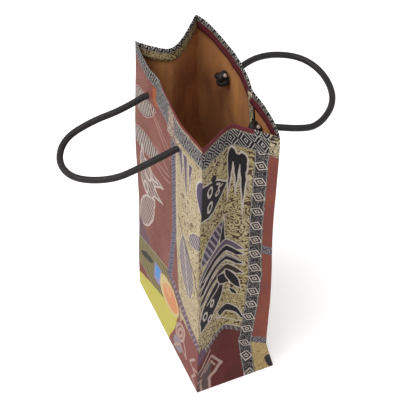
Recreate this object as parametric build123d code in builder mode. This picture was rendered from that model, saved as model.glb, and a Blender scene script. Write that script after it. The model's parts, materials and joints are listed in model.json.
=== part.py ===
"""Gift bag: a tall gusseted paper carrier with a turned-in rim, a flat base and two knotted cord handles.

The frame has its origin at the centre of the underside. +X runs along the width, +Y from the front
panel to the back panel, and +Z up. The bag's walls are one sheet of printed paper, folded round the
bag and glued to itself down the back. The sheet is divided at its folds here, so each panel and each
half of a gusset is a solid of its own, and neighbours meet on a shared mitre face.
"""

import os
from math import pi, radians, sqrt, tan

from build123d import *

# Driving dimensions, in millimetres
HEIGHT = 340.0  # floor to rim
WIDTH = 156.0  # across the front panel at the base
DEPTH = 85.0  # gusset, front to back, at the base
PAPER = 0.6  # one layer of the heavy handmade paper
BOARD = 1.5  # card that stiffens the base
CORD = 6.0  # handle cord diameter
HOLE_SPACING = 72.0  # between the two holes of one handle
HOLE_DROPS = {-1: 31.0, 1: 36.0}  # hole centres below the rim on the front (-1) and the back (1) panel
HEM = 9.0  # rim turned inside
SEAM_FLAP = 57.0  # glue flap's reach along the back panel from its right corner
KNOT = 15.0  # knot diameter
KNOT_DEPTH = 12.0  # knot's size along its hole
KNOT_ROUNDING = 4.8  # radius on both rims of a knot
KNOT_TAIL = 9.0  # cord left beyond the knot
TAIL_LEAN = (0.45, 0.35, 0.82)  # a tail's direction: along +X, back towards the panel, up
FLAP_OVERLAP = 24.0  # of the base's front and back flaps

# Fits
CLEARANCE = 0.3  # between a handle's end and the panel or knot that it turns against
TOUCH = 0.05  # between a knot and the paper that it bears on
HOLE = CORD + 2 * TOUCH
BASE_GAP = 0.3  # between the flaps of the base and the walls round them

# The base folds up along a crease half the bag's depth above the floor, and the walls bend there.
CREASE = DEPTH / 2
BEND_X = 50.0  # a main panel stands fuller between x = -BEND_X and BEND_X than at its corners

# Corners at three heights: front left, front right, back right, back left
CORNERS = {
    0.0: ((-78.0, -42.4), (78.0, -42.4), (78.0, 42.4), (-78.0, 42.4)),
    CREASE: ((-78.0, -41.7), (78.0, -41.7), (78.0, 34.0), (-78.0, 34.0)),
    HEIGHT: ((-77.0, -36.0), (77.0, -36.5), (79.0, 30.0), (-79.0, 24.0)),
}
# Y of the fuller middle of the front and the back panel at the same heights
MIDDLES = {0.0: (-42.5, 42.5), CREASE: (-42.3, 36.0), HEIGHT: (-41.0, 38.5)}

# Paper from a corner to the gusset's centre fold, the same at every height: the gusset is flat at the base
HALF_GUSSET = (CORNERS[0.0][2][1] - CORNERS[0.0][1][1]) / 2

# Vertices of the bag's outline, anticlockwise from above
FRONT_LEFT, FRONT_BEND_1, FRONT_BEND_2, FRONT_RIGHT, RIGHT_FOLD = range(5)
BACK_RIGHT, BACK_BEND_1, BACK_BEND_2, BACK_LEFT, LEFT_FOLD = range(5, 10)

# Handle routes from hole to hole: x, distance out from the hole's axis, height above it
FRONT_ROUTE = [
    (-36, 0, 0),
    (-31, 22, -3),
    (-31, 51, -6),
    (-24, 80, -10),
    (0, 94, -12),
    (25, 88, -11),
    (41, 60, -8),
    (41, 34, -4),
    (36, 0, 0),
]
BACK_ROUTE = [
    (-36, 0, 0),
    (-48, 19, 0),
    (-52, 47, -3),
    (-40, 74, -7),
    (-13, 84, -10),
    (22, 76, -9),
    (46, 51, -6),
    (52, 29, -2),
    (36, 0, 0),
]
ARC_SHARE = 0.45  # of the shorter run beside it that each arc takes up

HOLE_X = HOLE_SPACING / 2


def gusset_fold(front, back, side):
    """Centre fold of the gusset between two corners. side is 1 on the right and -1 on the left."""
    half_gap = (back[1] - front[1]) / 2
    inward = sqrt(max(HALF_GUSSET**2 - half_gap**2, 0))
    return ((front[0] + back[0]) / 2 - side * inward, (front[1] + back[1]) / 2)


def outline_at_level(level):
    """The ten vertices of the outer outline at one of the three heights in CORNERS."""
    front_left, front_right, back_right, back_left = CORNERS[level]
    front_y, back_y = MIDDLES[level]
    return [
        front_left,
        (-BEND_X, front_y),
        (BEND_X, front_y),
        front_right,
        gusset_fold(front_right, back_right, 1),
        back_right,
        (BEND_X, back_y),
        (-BEND_X, back_y),
        back_left,
        gusset_fold(front_left, back_left, -1),
    ]


def between(a, b, share):
    """The point that lies a share of the way from a to b."""
    return (a[0] + share * (b[0] - a[0]), a[1] + share * (b[1] - a[1]))


def inset(points, distance):
    """The outline moved inwards by distance, with mitred corners."""
    moved = []
    for i, (x, y) in enumerate(points):
        before = Vector(x, y) - Vector(*points[i - 1])
        after = Vector(*points[(i + 1) % len(points)]) - Vector(x, y)
        normal_1 = Vector(-before.Y, before.X).normalized()
        normal_2 = Vector(-after.Y, after.X).normalized()
        step = (normal_1 + normal_2) * (distance / (1 + normal_1.dot(normal_2)))
        moved.append((x + step.X, y + step.Y))
    return moved


def outline(height, layers=0):
    """The outline at any height, inside that many layers of paper."""
    low, high = (0.0, CREASE) if height < CREASE else (CREASE, HEIGHT)
    share = (height - low) / (high - low)
    low_ring = inset(outline_at_level(low), layers * PAPER)
    high_ring = inset(outline_at_level(high), layers * PAPER)
    return [between(a, b, share) for a, b in zip(low_ring, high_ring)]


def wall_section(height, first, last, layer, end_share):
    """A wall's closed section at one height, from vertex first to vertex last of the outline."""
    faces = []
    for ring in (outline(height, layer), outline(height, layer + 1)):
        line = [ring[i % len(ring)] for i in range(first, last + 1)]
        line[-1] = between(line[-2], line[-1], end_share)
        faces.append(line)
    with BuildSketch(Plane.XY.offset(height)) as section:
        with BuildLine():
            Polyline(*faces[0], *reversed(faces[1]), close=True)
        make_face()
    return section.sketch


def wall_sections(first, last, heights, layer=0, end_share=1.0):
    """The sections of a wall one layer of paper thick, for a loft.

    layer counts the layers of paper outside it. end_share cuts its last stretch short.
    """
    return [wall_section(height, first, last, layer, end_share) for height in heights]


def hole_height(side):
    """Height of the holes in the front panel (side -1) or the back panel (side 1)."""
    return HEIGHT - HOLE_DROPS[side]


def hole_circles(side, *positions):
    """Circles for a main panel's cord holes at these x positions, on the plane through both gussets."""
    with BuildSketch(Plane.XZ) as circles:
        with Locations(*((x, hole_height(side)) for x in positions)):
            Circle(HOLE / 2)
    return circles.sketch


def panel_face_y(side, layers=0):
    """Y of a main panel's middle at the height of the holes, inside that many layers of paper."""
    vertex = FRONT_BEND_1 if side < 0 else BACK_BEND_1
    return outline(hole_height(side), layers)[vertex][1]


def handle_axis_y(side):
    """Y of the line through both holes that a handle turns on, just outside its panel."""
    return panel_face_y(side) + side * (CLEARANCE + CORD / 2)


def arc_radii(points):
    """The radius of each arc along a route: as large as its two runs allow."""
    radii = []
    for a, b, c in zip(points, points[1:], points[2:]):
        run_1 = Vector(*b) - Vector(*a)
        run_2 = Vector(*c) - Vector(*b)
        half_turn = radians(run_1.get_angle(run_2)) / 2
        radii.append(ARC_SHARE * min(run_1.length, run_2.length) / tan(half_turn))
    return radii


def handle_cord(route, side):
    """A handle's cord along its route, with a round end on the axis at each hole."""
    axis_y = handle_axis_y(side)
    points = [(x, axis_y + side * out, hole_height(side) + rise) for x, out, rise in route]
    radii = arc_radii(points)
    with BuildPart() as cord:
        with BuildLine():
            path = FilletPolyline(*points, radius=radii)
        with BuildSketch(Plane(origin=path @ 0, z_dir=path % 0)):
            Circle(CORD / 2)
        sweep()
        with Locations(path @ 0, path @ 1):
            Sphere(CORD / 2)
    expected = pi * CORD**2 / 4 * path.length + pi * CORD**3 / 6
    print("arc radii", [round(radius, 1) for radius in radii])
    print("length", round(path.length, 1), "volume", round(cord.part.volume), "expected", round(expected))
    return cord.part


def knot_in_hole(x, side, layers):
    """A knot inside the bag, with the cord through the paper to its outer face and a short tail."""
    bearing_y = panel_face_y(side, layers) - side * TOUCH
    bearing = Plane(origin=(x, bearing_y, hole_height(side)), x_dir=(1, 0, 0), z_dir=(0, -side, 0))
    middle = bearing.origin + bearing.z_dir * KNOT_DEPTH / 2
    lean_x, lean_out, lean_up = TAIL_LEAN
    tail = Plane(origin=middle, z_dir=(lean_x, -side * lean_out, lean_up))
    with BuildPart() as knot:
        with BuildSketch(bearing):
            Circle(KNOT / 2)
        extrude(amount=KNOT_DEPTH)
        fillet(knot.edges(), radius=KNOT_ROUNDING)
        with BuildSketch(bearing):
            Circle(CORD / 2)
        extrude(amount=-abs(panel_face_y(side) - bearing_y))
        with BuildSketch(tail):
            Circle(CORD / 2)
        extrude(amount=KNOT / 2 + KNOT_TAIL)
    return knot.part


os.makedirs("parts", exist_ok=True)
FULL_HEIGHT = (0.0, CREASE, HEIGHT)
HEM_HEIGHTS = (HEIGHT - HEM, HEIGHT)

# Walls
with BuildPart() as front_panel:
    loft(wall_sections(FRONT_LEFT, FRONT_RIGHT, FULL_HEIGHT), ruled=True)
    extrude(hole_circles(-1, -HOLE_X, HOLE_X), amount=DEPTH, mode=Mode.SUBTRACT)
front_panel.part.label = "front_panel"
export_step(front_panel.part, "parts/front_panel.step")

with BuildPart() as back_panel:
    loft(wall_sections(BACK_RIGHT, BACK_LEFT, FULL_HEIGHT), ruled=True)
    extrude(hole_circles(1, -HOLE_X, HOLE_X), amount=-DEPTH, mode=Mode.SUBTRACT)
back_panel.part.label = "back_panel"
export_step(back_panel.part, "parts/back_panel.step")

with BuildPart() as right_gusset_front:
    loft(wall_sections(FRONT_RIGHT, RIGHT_FOLD, FULL_HEIGHT), ruled=True)
right_gusset_front.part.label = "right_gusset_front"
export_step(right_gusset_front.part, "parts/right_gusset_front.step")

with BuildPart() as right_gusset_back:
    loft(wall_sections(RIGHT_FOLD, BACK_RIGHT, FULL_HEIGHT), ruled=True)
right_gusset_back.part.label = "right_gusset_back"
export_step(right_gusset_back.part, "parts/right_gusset_back.step")

with BuildPart() as left_gusset_back:
    loft(wall_sections(BACK_LEFT, LEFT_FOLD, FULL_HEIGHT), ruled=True)
left_gusset_back.part.label = "left_gusset_back"
export_step(left_gusset_back.part, "parts/left_gusset_back.step")

with BuildPart() as left_gusset_front:
    loft(wall_sections(LEFT_FOLD, LEFT_FOLD + 1, FULL_HEIGHT), ruled=True)
left_gusset_front.part.label = "left_gusset_front"
export_step(left_gusset_front.part, "parts/left_gusset_front.step")

# Rim hems, turned inside against the walls
with BuildPart() as front_rim_hem:
    loft(wall_sections(FRONT_LEFT, FRONT_RIGHT, HEM_HEIGHTS, layer=1), ruled=True)
front_rim_hem.part.label = "front_rim_hem"
export_step(front_rim_hem.part, "parts/front_rim_hem.step")

with BuildPart() as back_rim_hem:
    loft(wall_sections(BACK_RIGHT, BACK_LEFT, HEM_HEIGHTS, layer=1), ruled=True)
back_rim_hem.part.label = "back_rim_hem"
export_step(back_rim_hem.part, "parts/back_rim_hem.step")

with BuildPart() as right_gusset_hem:
    loft(wall_sections(FRONT_RIGHT, BACK_RIGHT, HEM_HEIGHTS, layer=1), ruled=True)
right_gusset_hem.part.label = "right_gusset_hem"
export_step(right_gusset_hem.part, "parts/right_gusset_hem.step")

with BuildPart() as left_gusset_hem:
    loft(wall_sections(BACK_LEFT, LEFT_FOLD + 1, HEM_HEIGHTS, layer=1), ruled=True)
left_gusset_hem.part.label = "left_gusset_hem"
export_step(left_gusset_hem.part, "parts/left_gusset_hem.step")

# Glue flap of the side seam, lapped inside the back panel from its right corner
flap_share = (SEAM_FLAP - (CORNERS[0.0][2][0] - BEND_X)) / (2 * BEND_X)
flap_heights = (BASE_GAP + 3 * PAPER + BOARD, CREASE, HEIGHT - HEM - BASE_GAP)
with BuildPart() as side_seam_flap:
    loft(wall_sections(BACK_RIGHT, BACK_BEND_2, flap_heights, layer=1, end_share=flap_share), ruled=True)
    extrude(hole_circles(1, HOLE_X), amount=-DEPTH, mode=Mode.SUBTRACT)
side_seam_flap.part.label = "side_seam_flap"
export_step(side_seam_flap.part, "parts/side_seam_flap.step")

# Base: side tucks folded in first, then the front flap, then the back flap outermost on the floor
inner_width = WIDTH - 2 * (2 * PAPER + BASE_GAP)
inner_depth = DEPTH - 2 * (2 * PAPER + BASE_GAP)
flap_width = (inner_depth + FLAP_OVERLAP) / 2
tuck_reach = inner_depth / 2  # each tuck reaches in by half the depth, as its paper does

with BuildPart() as base_back_flap:
    with BuildSketch():
        with Locations((0, inner_depth / 2)):
            Rectangle(inner_width, flap_width, align=(Align.CENTER, Align.MAX))
    extrude(amount=PAPER)
base_back_flap.part.label = "base_back_flap"
export_step(base_back_flap.part, "parts/base_back_flap.step")

with BuildPart() as base_front_flap:
    with BuildSketch(Plane.XY.offset(PAPER)):
        with Locations((0, -inner_depth / 2)):
            Rectangle(inner_width, flap_width, align=(Align.CENTER, Align.MIN))
    extrude(amount=PAPER)
base_front_flap.part.label = "base_front_flap"
export_step(base_front_flap.part, "parts/base_front_flap.step")

with BuildPart() as base_right_tuck:
    with BuildSketch(Plane.XY.offset(2 * PAPER)):
        with BuildLine():
            Polyline(
                (inner_width / 2, -inner_depth / 2),
                (inner_width / 2, inner_depth / 2),
                (inner_width / 2 - tuck_reach, 0),
                close=True,
            )
        make_face()
    extrude(amount=PAPER)
base_right_tuck.part.label = "base_right_tuck"
export_step(base_right_tuck.part, "parts/base_right_tuck.step")

with BuildPart() as base_left_tuck:
    mirror(base_right_tuck.part, about=Plane.YZ)
base_left_tuck.part.label = "base_left_tuck"
export_step(base_left_tuck.part, "parts/base_left_tuck.step")

with BuildPart() as base_board:
    board_outline = inset(outline_at_level(0.0), 3 * PAPER + 3 * BASE_GAP)
    with BuildSketch(Plane.XY.offset(3 * PAPER)):
        with BuildLine():
            board_corners = [board_outline[i] for i in (FRONT_LEFT, FRONT_RIGHT, BACK_RIGHT, BACK_LEFT)]
            Polyline(*board_corners, close=True)
        make_face()
    extrude(amount=BOARD)
base_board.part.label = "base_board"
export_step(base_board.part, "parts/base_board.step")

# Knots. The flap is a second layer of paper at the back right hole.
front_left_knot = knot_in_hole(-HOLE_X, -1, 1)
front_left_knot.label = "front_left_knot"
export_step(front_left_knot, "parts/front_left_knot.step")

front_right_knot = knot_in_hole(HOLE_X, -1, 1)
front_right_knot.label = "front_right_knot"
export_step(front_right_knot, "parts/front_right_knot.step")

back_left_knot = knot_in_hole(-HOLE_X, 1, 1)
back_left_knot.label = "back_left_knot"
export_step(back_left_knot, "parts/back_left_knot.step")

back_right_knot = knot_in_hole(HOLE_X, 1, 2)
back_right_knot.label = "back_right_knot"
export_step(back_right_knot, "parts/back_right_knot.step")

# Handles
front_handle_cord = handle_cord(FRONT_ROUTE, -1)
front_handle_cord.label = "front_handle_cord"
export_step(front_handle_cord, "parts/front_handle_cord.step")

back_handle_cord = handle_cord(BACK_ROUTE, 1)
back_handle_cord.label = "back_handle_cord"
export_step(back_handle_cord, "parts/back_handle_cord.step")

for name, side in (("front", -1), ("back", 1)):
    print(name, "handle axis y", round(handle_axis_y(side), 3), "z", hole_height(side))
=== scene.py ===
"""Looks of the gift bag: printed paper, waxed inside, knotted cord handles, floor, light and camera."""

import json
from math import cos, exp, hypot, pi, radians, sin, sqrt

import bpy
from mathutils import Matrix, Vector, noise


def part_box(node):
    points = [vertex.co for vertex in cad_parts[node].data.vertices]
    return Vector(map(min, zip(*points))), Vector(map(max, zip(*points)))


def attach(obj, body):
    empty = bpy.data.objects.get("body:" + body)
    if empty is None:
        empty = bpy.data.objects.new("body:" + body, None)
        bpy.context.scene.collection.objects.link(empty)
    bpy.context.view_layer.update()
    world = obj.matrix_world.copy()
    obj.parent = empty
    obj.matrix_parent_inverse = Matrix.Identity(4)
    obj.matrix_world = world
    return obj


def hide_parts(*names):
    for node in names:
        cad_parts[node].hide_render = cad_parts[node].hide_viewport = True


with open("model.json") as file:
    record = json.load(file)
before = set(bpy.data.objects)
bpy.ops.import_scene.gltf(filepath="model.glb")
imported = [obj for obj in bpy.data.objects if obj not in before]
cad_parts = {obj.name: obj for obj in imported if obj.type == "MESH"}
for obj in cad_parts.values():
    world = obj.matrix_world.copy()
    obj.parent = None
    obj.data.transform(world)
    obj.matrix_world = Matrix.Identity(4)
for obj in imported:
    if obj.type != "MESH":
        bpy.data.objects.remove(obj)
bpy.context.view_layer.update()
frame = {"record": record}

MM = 0.001  # lengths below are in millimetres and become metres in the meshes
PAPER = 0.6


def box_mm(node):
    """A CAD node's lowest and highest corners, in millimetres."""
    low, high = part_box(node)
    return Vector(low) / MM, Vector(high) / MM


# Sizes read from the frame
HEIGHT = box_mm("front_panel")[1].z
WIDTH = box_mm("front_panel")[1].x - box_mm("front_panel")[0].x
CREASE = 42.5  # the base folds up along this line
HALF_GUSSET = 42.4  # paper from a corner to the gusset's centre fold
GUSSET = 2 * HALF_GUSSET
GUSSET_COLUMNS = 24
PANEL_COLUMNS = 48


# ---------------------------------------------------------------- shape of the folded sheet

# Corners of the sheet at the floor, at the crease and at the rim
CORNERS = {
    "front_left": ((-78.0, -42.4), (-78.0, -41.7), (-76.5, -36.3)),
    "front_right": ((78.0, -42.4), (78.0, -41.7), (76.5, -36.5)),
    "back_right": ((78.0, 42.4), (77.5, 33.5), (84.0, 30.0)),
    "back_left": ((-78.0, 42.4), (-78.0, 34.0), (-80.0, 24.0)),
}
# Y of the fuller middle of each main panel at the heights given
FRONT_MIDDLE = ((0, -42.4), (CREASE, -42.1), (HEIGHT - 36, -41.1), (HEIGHT, -40.2))
BACK_MIDDLE = ((0, 42.4), (CREASE, 36.0), (HEIGHT - 36, 38.2), (HEIGHT, 36.4))
# How far each corner of the rim stands above the rim's own height, and where that rise begins
RIM_LIFT = {"front_left": -1.0, "front_right": 1.0, "back_right": -5.0, "back_left": 6.0}
LIFT_FROM = 200.0


def lerp(a, b, t):
    """The point or number a share t of the way from a to b."""
    return a + (b - a) * t


def along(table, x):
    """Straight-line interpolation in a table of (x, value) pairs."""
    for (x0, v0), (x1, v1) in zip(table, table[1:]):
        if x <= x1:
            return lerp(v0, v1, (x - x0) / (x1 - x0))
    return table[-1][1]


def bell(x, centre, width):
    """A smooth bump of height 1."""
    return exp(-(((x - centre) / width) ** 2))


def corner(name, z):
    """A corner of the sheet at a height, wandering a little as paper does."""
    low, middle, high = CORNERS[name]
    table = ((0.0, Vector(low)), (CREASE, Vector(middle)), (HEIGHT, Vector(high)))
    spot = along(table, z)
    wander = 0.7 * sin(z / 31.0 + len(name)) * min(z / 60.0, 1.0)
    return spot + Vector((wander * 0.5, wander))


def panel_point(start, end, middle, s, z, fullness):
    """A point of a main panel: its corners are drawn in and its middle stands fuller."""
    u = s / WIDTH
    a, b = corner(start, z), corner(end, z)
    edge = lerp(a, b, u)
    full = 1 - abs(2 * u - 1) ** fullness
    return Vector((edge.x, lerp(edge.y, along(middle, z), full)))


def front_point(s, z):
    p = panel_point("front_left", "front_right", FRONT_MIDDLE, s, z, 4)
    rim = max((z - HEIGHT + 75) / 75, 0) ** 1.5
    p.y += rim * (3.2 * bell(s, 60, 15) + 1.2 * bell(s, 86, 12) - 1.3 * bell(s, 122, 13))
    p.y += 0.35 * sin(s / 21.0 + z / 47.0) * min(z / 60, 1)
    return p


def back_point(s, z):
    p = panel_point("back_right", "back_left", BACK_MIDDLE, s, z, 5)
    rim = max((z - HEIGHT + 70) / 70, 0) ** 1.5
    p.y += rim * (0.6 * sin(s / 11.0) - 2.4 * bell(s, 56, 10) + 1.0 * bell(s, 100, 20))
    p.y -= 0.5 * (1 + sin(s / 19.0 + z / 53.0)) * min(z / 60, 1) * (1 - abs(2 * s / WIDTH - 1) ** 4)
    return p


def gusset_fold(a, b, side, share):
    """The centre fold between two corners, its halves keeping their paper length."""
    gap = (b - a).length
    inward = sqrt(max(HALF_GUSSET**2 - (gap / 2) ** 2, 0))
    across = (b - a).normalized()
    normal = Vector((across.y, -across.x))
    if normal.x * side > 0:
        normal = -normal
    return lerp(a, b, share) + normal * inward


ROUNDING = {1: 0.07, -1: 0.42}  # of each gusset's centre fold at the rim


def gusset_point(first, last, side, s, z, share):
    """A point of a gusset, whose centre fold is sharp low down and rounded towards the rim."""
    a, b = corner(first, z), corner(last, z)
    if z < CREASE:
        return gusset_foot(first, last, side, s, z)
    fold = gusset_fold(a, b, side, lerp(0.5, share, (z - CREASE) / (HEIGHT - CREASE)))
    t = s / HALF_GUSSET - 1
    rounding = 0.03 + ROUNDING[side] * max((z - HEIGHT + 120) / 120, 0) ** 2
    soft = (sqrt(t * t + rounding**2) - rounding) / (sqrt(1 + rounding**2) - rounding)
    straight = lerp(a, fold, t + 1) if t < 0 else lerp(fold, b, t)
    chord = lerp(a, b, (t + 1) / 2)
    depth_sharp = 1 - abs(t)
    depth_soft = (1 - soft) * (1 - 0.25 * rounding)
    p = chord + (straight - chord) * (depth_soft / depth_sharp if depth_sharp > 1e-6 else 1)
    ridge = 0.9 * bell(z, 168, 5) - 0.6 * bell(z, 262, 24)
    p.x -= side * ridge * (1 - abs(t)) - side * 0.4 * sin(z / 23.0 + s / 17.0) * (1 - abs(t))
    return p


def gusset_foot(first, last, side, s, z):
    """Below the crease the gusset spreads over a leaning triangle that stands on the base's edge."""
    t = z / CREASE
    crossing = HALF_GUSSET * t
    a0, b0 = Vector(CORNERS[first][0]), Vector(CORNERS[last][0])
    a1, b1 = corner(first, CREASE), corner(last, CREASE)
    apex = gusset_fold(a1, b1, side, 0.5)
    a, b = lerp(a0, a1, t), lerp(b0, b1, t)
    left, right, middle = lerp(a0, apex, t), lerp(b0, apex, t), lerp((a0 + b0) / 2, apex, t)
    if s < crossing:
        return lerp(a, left, s / crossing)
    if s <= HALF_GUSSET:
        return lerp(left, middle, (s - crossing) / max(HALF_GUSSET - crossing, 1e-6))
    if s <= GUSSET - crossing:
        return lerp(middle, right, (s - HALF_GUSSET) / max(HALF_GUSSET - crossing, 1e-6))
    return lerp(right, b, (s - GUSSET + crossing) / crossing)


def right_point(s, z):
    return gusset_point("front_right", "back_right", 1, s, z, 0.5)


def left_point(s, z):
    return gusset_point("back_left", "front_left", -1, s, z, 0.63)


# The sheet's stretches, anticlockwise from the front left corner: name, length, columns, shape
STRETCHES = (
    ("front", WIDTH, PANEL_COLUMNS, front_point),
    ("right", GUSSET, GUSSET_COLUMNS, right_point),
    ("back", WIDTH, PANEL_COLUMNS, back_point),
    ("left", GUSSET, GUSSET_COLUMNS, left_point),
)
LOW_ROWS = 12
HIGH_ROWS = 66
ROWS = [CREASE * i / LOW_ROWS for i in range(LOW_ROWS)]
ROWS += [CREASE + (HEIGHT - CREASE) * i / HIGH_ROWS for i in range(HIGH_ROWS + 1)]


class Column:
    """One upright line of the sheet: its stretch, its place along it and round the bag, and its shape."""

    def __init__(self, stretch, s, total, corners, shape):
        self.stretch, self.s, self.total = stretch, s, total
        self.corners, self.shape = corners, shape


def build_columns():
    columns = []
    names = ("front_left", "front_right", "back_right", "back_left")
    start = 0.0
    for i, (name, length, count, shape) in enumerate(STRETCHES):
        for c in range(count):
            ends = (names[i], names[(i + 1) % len(names)], c / count)
            columns.append(Column(name, length * c / count, start, ends, shape))
        start += length
    return columns


COLUMNS = build_columns()
STEP = {name: length / count for name, length, count, shape in STRETCHES}  # from one column to the next
STRETCH_START = {}  # each stretch's first column
for i, column in enumerate(COLUMNS):
    STRETCH_START.setdefault(column.stretch, i)


def rim_lift(column):
    a, b, u = column.corners
    return lerp(RIM_LIFT[a], RIM_LIFT[b], u) + 0.5 * sin(column.s / 9.0 + column.total)


def sheet_ring(z):
    """The outer outline of the sheet at one height, as a point for each column."""
    ring = []
    for column in COLUMNS:
        p = column.shape(column.s, z)
        lift = rim_lift(column) * max((z - LIFT_FROM) / (HEIGHT - LIFT_FROM), 0)
        ring.append(Vector((p.x, p.y, z + lift)))
    return ring


def inward(ring):
    """The mitred inward step at each point of a ring, for one millimetre of thickness."""
    steps = []
    for i, p in enumerate(ring):
        before, after = p - ring[i - 1], ring[(i + 1) % len(ring)] - p
        n1 = Vector((-before.y, before.x, 0)).normalized()
        n2 = Vector((-after.y, after.x, 0)).normalized()
        steps.append((n1 + n2) / max(1 + n1.dot(n2), 0.6))
    return steps


RINGS = [sheet_ring(z) for z in ROWS]
INWARD = [inward(ring) for ring in RINGS]


def roughened(p, step, amount):
    """Handmade paper is never quite flat."""
    wave = noise.noise(p * 0.045) + 0.4 * noise.noise(p * 0.14)
    return p + step.normalized() * wave * amount


def sheet_point(i, row, depth):
    """The point of column i and a row, depth millimetres inside the outer face."""
    i %= len(COLUMNS)
    p, step = RINGS[row][i], INWARD[row][i]
    quiet = min(row / 3, 1.0)
    return roughened(p, step, 0.3 * quiet) + step * depth


# ---------------------------------------------------------------- meshes


def add_object(name, data):
    """Puts a new object in the scene."""
    obj = bpy.data.objects.new(name, data)
    bpy.context.scene.collection.objects.link(obj)
    return obj


def declare(obj, body, slot, *nodes):
    """Says which body a piece rides on and the CAD nodes that it replaces. The slot argument is not used.
    """
    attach(obj, body)
    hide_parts(*nodes)


def new_piece(name, points, faces, materials, slots, coords=None, sharp=()):
    """A mesh object from points in millimetres. coords holds each point's place on the printed sheet."""
    mesh = bpy.data.meshes.new(name)
    mesh.from_pydata([tuple(Vector(p) * MM) for p in points], [], faces)
    for material in materials:
        mesh.materials.append(material)
    for i, polygon in enumerate(mesh.polygons):
        polygon.material_index = slots[i]
        polygon.use_smooth = slots[i] != EDGE_SLOT
    if coords:
        layer = mesh.uv_layers.new(name="sheet")
        for loop in mesh.loops:
            s, z = coords[loop.vertex_index]
            layer.data[loop.index].uv = (s * MM, z * MM)
    if sharp:
        for edge in mesh.edges:
            edge.use_edge_sharp = tuple(sorted(edge.vertices)) in sharp
    mesh.validate()
    return add_object(name, mesh)


PRINT_SLOT, INSIDE_SLOT, EDGE_SLOT = 0, 1, 2


def ring_faces(rings, size, closed=False, flip=False):
    """Quads between each ring of points and the next, and from the last to the first where closed."""
    faces = []
    for r in range(rings if closed else rings - 1):
        low, high = r * size, (r + 1) % rings * size
        for k in range(size):
            n = (k + 1) % size
            quad = (low + k, high + k, high + n, low + n)
            faces.append((quad[0], quad[3], quad[2], quad[1]) if flip else quad)
    return faces


def sheet_grid(first, last, rows, depth):
    """Rows of the sheet's points between two columns, depth millimetres inside the outer face."""
    return [[sheet_point(i, row, depth) for i in range(first, last + 1)] for row in rows]


RISING, FALLING = 1, 2  # ways that a cell of a gusset's foot is creased


def foot_crease(stretch, row, cell):
    """How a cell lies on the creases that bound the triangle at a gusset's foot."""
    if stretch in ("right", "left") and row < LOW_ROWS:
        if cell == row:
            return RISING
        if cell == GUSSET_COLUMNS - 1 - row:
            return FALLING
    return None


def cell_faces(corners, crease):
    """A cell of the sheet as one face, or as two on either side of a crease, and that crease."""
    a, b, c, d = corners
    if crease == RISING:
        return [(a, b, c), (a, c, d)], [(a, c)]
    if crease == FALLING:
        return [(a, b, d), (b, c, d)], [(b, d)]
    return [(a, b, c, d)], []


def slab(name, outer, inner, coords, materials, crease_at=None, sharp_row=None):
    """A closed sheet between two grids of points, the first facing out and the second in."""
    rows, count = len(outer), len(outer[0])
    back = rows * count
    faces, slots, sharp = [], [], set()
    for row in range(rows - 1):
        for i in range(count - 1):
            low, high = row * count + i, (row + 1) * count + i
            corners = (low, low + 1, high + 1, high)
            parts, creased = cell_faces(corners, crease_at(row, i) if crease_at else None)
            for part in parts:
                faces += [part, tuple(back + v for v in reversed(part))]
                slots += [PRINT_SLOT, INSIDE_SLOT]
            if row == sharp_row:
                creased.append((low, low + 1))
            for a, b in creased:
                sharp.update(((a, b), (back + a, back + b)))
    loop = list(range(count)) + [row * count + count - 1 for row in range(1, rows)]
    loop += [(rows - 1) * count + i for i in reversed(range(count - 1))]
    loop += [row * count for row in reversed(range(1, rows - 1))]
    for a, b in zip(loop, loop[1:] + loop[:1]):
        faces.append((b, a, back + a, back + b))
        slots.append(EDGE_SLOT)
    points = [p for grid in (outer, inner) for row in grid for p in row]
    return new_piece(name, points, faces, materials, slots, coords * 2, sharp)


def wall_piece(name, first, last, local_start, materials):
    """A stretch of the sheet between two columns, printed outside and waxed inside."""
    stretch = COLUMNS[first].stretch

    def crease_at(row, i):
        return foot_crease(stretch, row, first + i - STRETCH_START[stretch])

    outer, inner = (sheet_grid(first, last, range(len(ROWS)), depth) for depth in (0.0, PAPER))
    coords = [(local_start + i * STEP[stretch], z) for z in ROWS for i in range(last - first + 1)]
    sharp_row = None if stretch == "front" else LOW_ROWS
    return slab(name, outer, inner, coords, materials, crease_at, sharp_row)


# ---------------------------------------------------------------- materials


class Num:
    """A number worked out in a material's nodes. Arithmetic on it adds Math nodes."""

    def __init__(self, tree, socket):
        self.tree, self.socket = tree, socket

    def node(self, operation, *terms, clamp=False):
        made = self.tree.nodes.new("ShaderNodeMath")
        made.operation, made.use_clamp = operation, clamp
        for socket, term in zip(made.inputs, (self,) + terms):
            if isinstance(term, Num):
                self.tree.links.new(term.socket, socket)
            else:
                socket.default_value = term
        return Num(self.tree, made.outputs[0])

    def __add__(self, other):
        return self.node("ADD", other)

    def __sub__(self, other):
        return self.node("SUBTRACT", other)

    def __mul__(self, other):
        return self.node("MULTIPLY", other)

    def __rsub__(self, other):
        return (self * -1.0) + other

    def __neg__(self):
        return self * -1.0

    def abs(self):
        return self.node("ABSOLUTE")

    def fract(self):
        return self.node("FRACT")

    def sqrt(self):
        return self.node("SQRT")

    def max(self, other):
        return self.node("MAXIMUM", other)

    def min(self, other):
        return self.node("MINIMUM", other)

    def clamp(self):
        return self.node("ADD", 0.0, clamp=True)


def linear(r, g, b, strength=0.57):
    """A colour given in 0 to 255 screen values, as linear light."""
    parts = [c / 255 / 12.92 if c <= 10 else ((c / 255 + 0.055) / 1.055) ** 2.4 for c in (r, g, b)]
    return tuple(part * strength for part in parts) + (1.0,)


def add_bump(tree, shader, height, strength, distance):
    """Gives a shader a fine relief."""
    bump = tree.nodes.new("ShaderNodeBump")
    bump.inputs["Strength"].default_value = strength
    bump.inputs["Distance"].default_value = distance
    tree.links.new(height.socket, bump.inputs["Height"])
    tree.links.new(bump.outputs[0], shader.inputs["Normal"])


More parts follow.
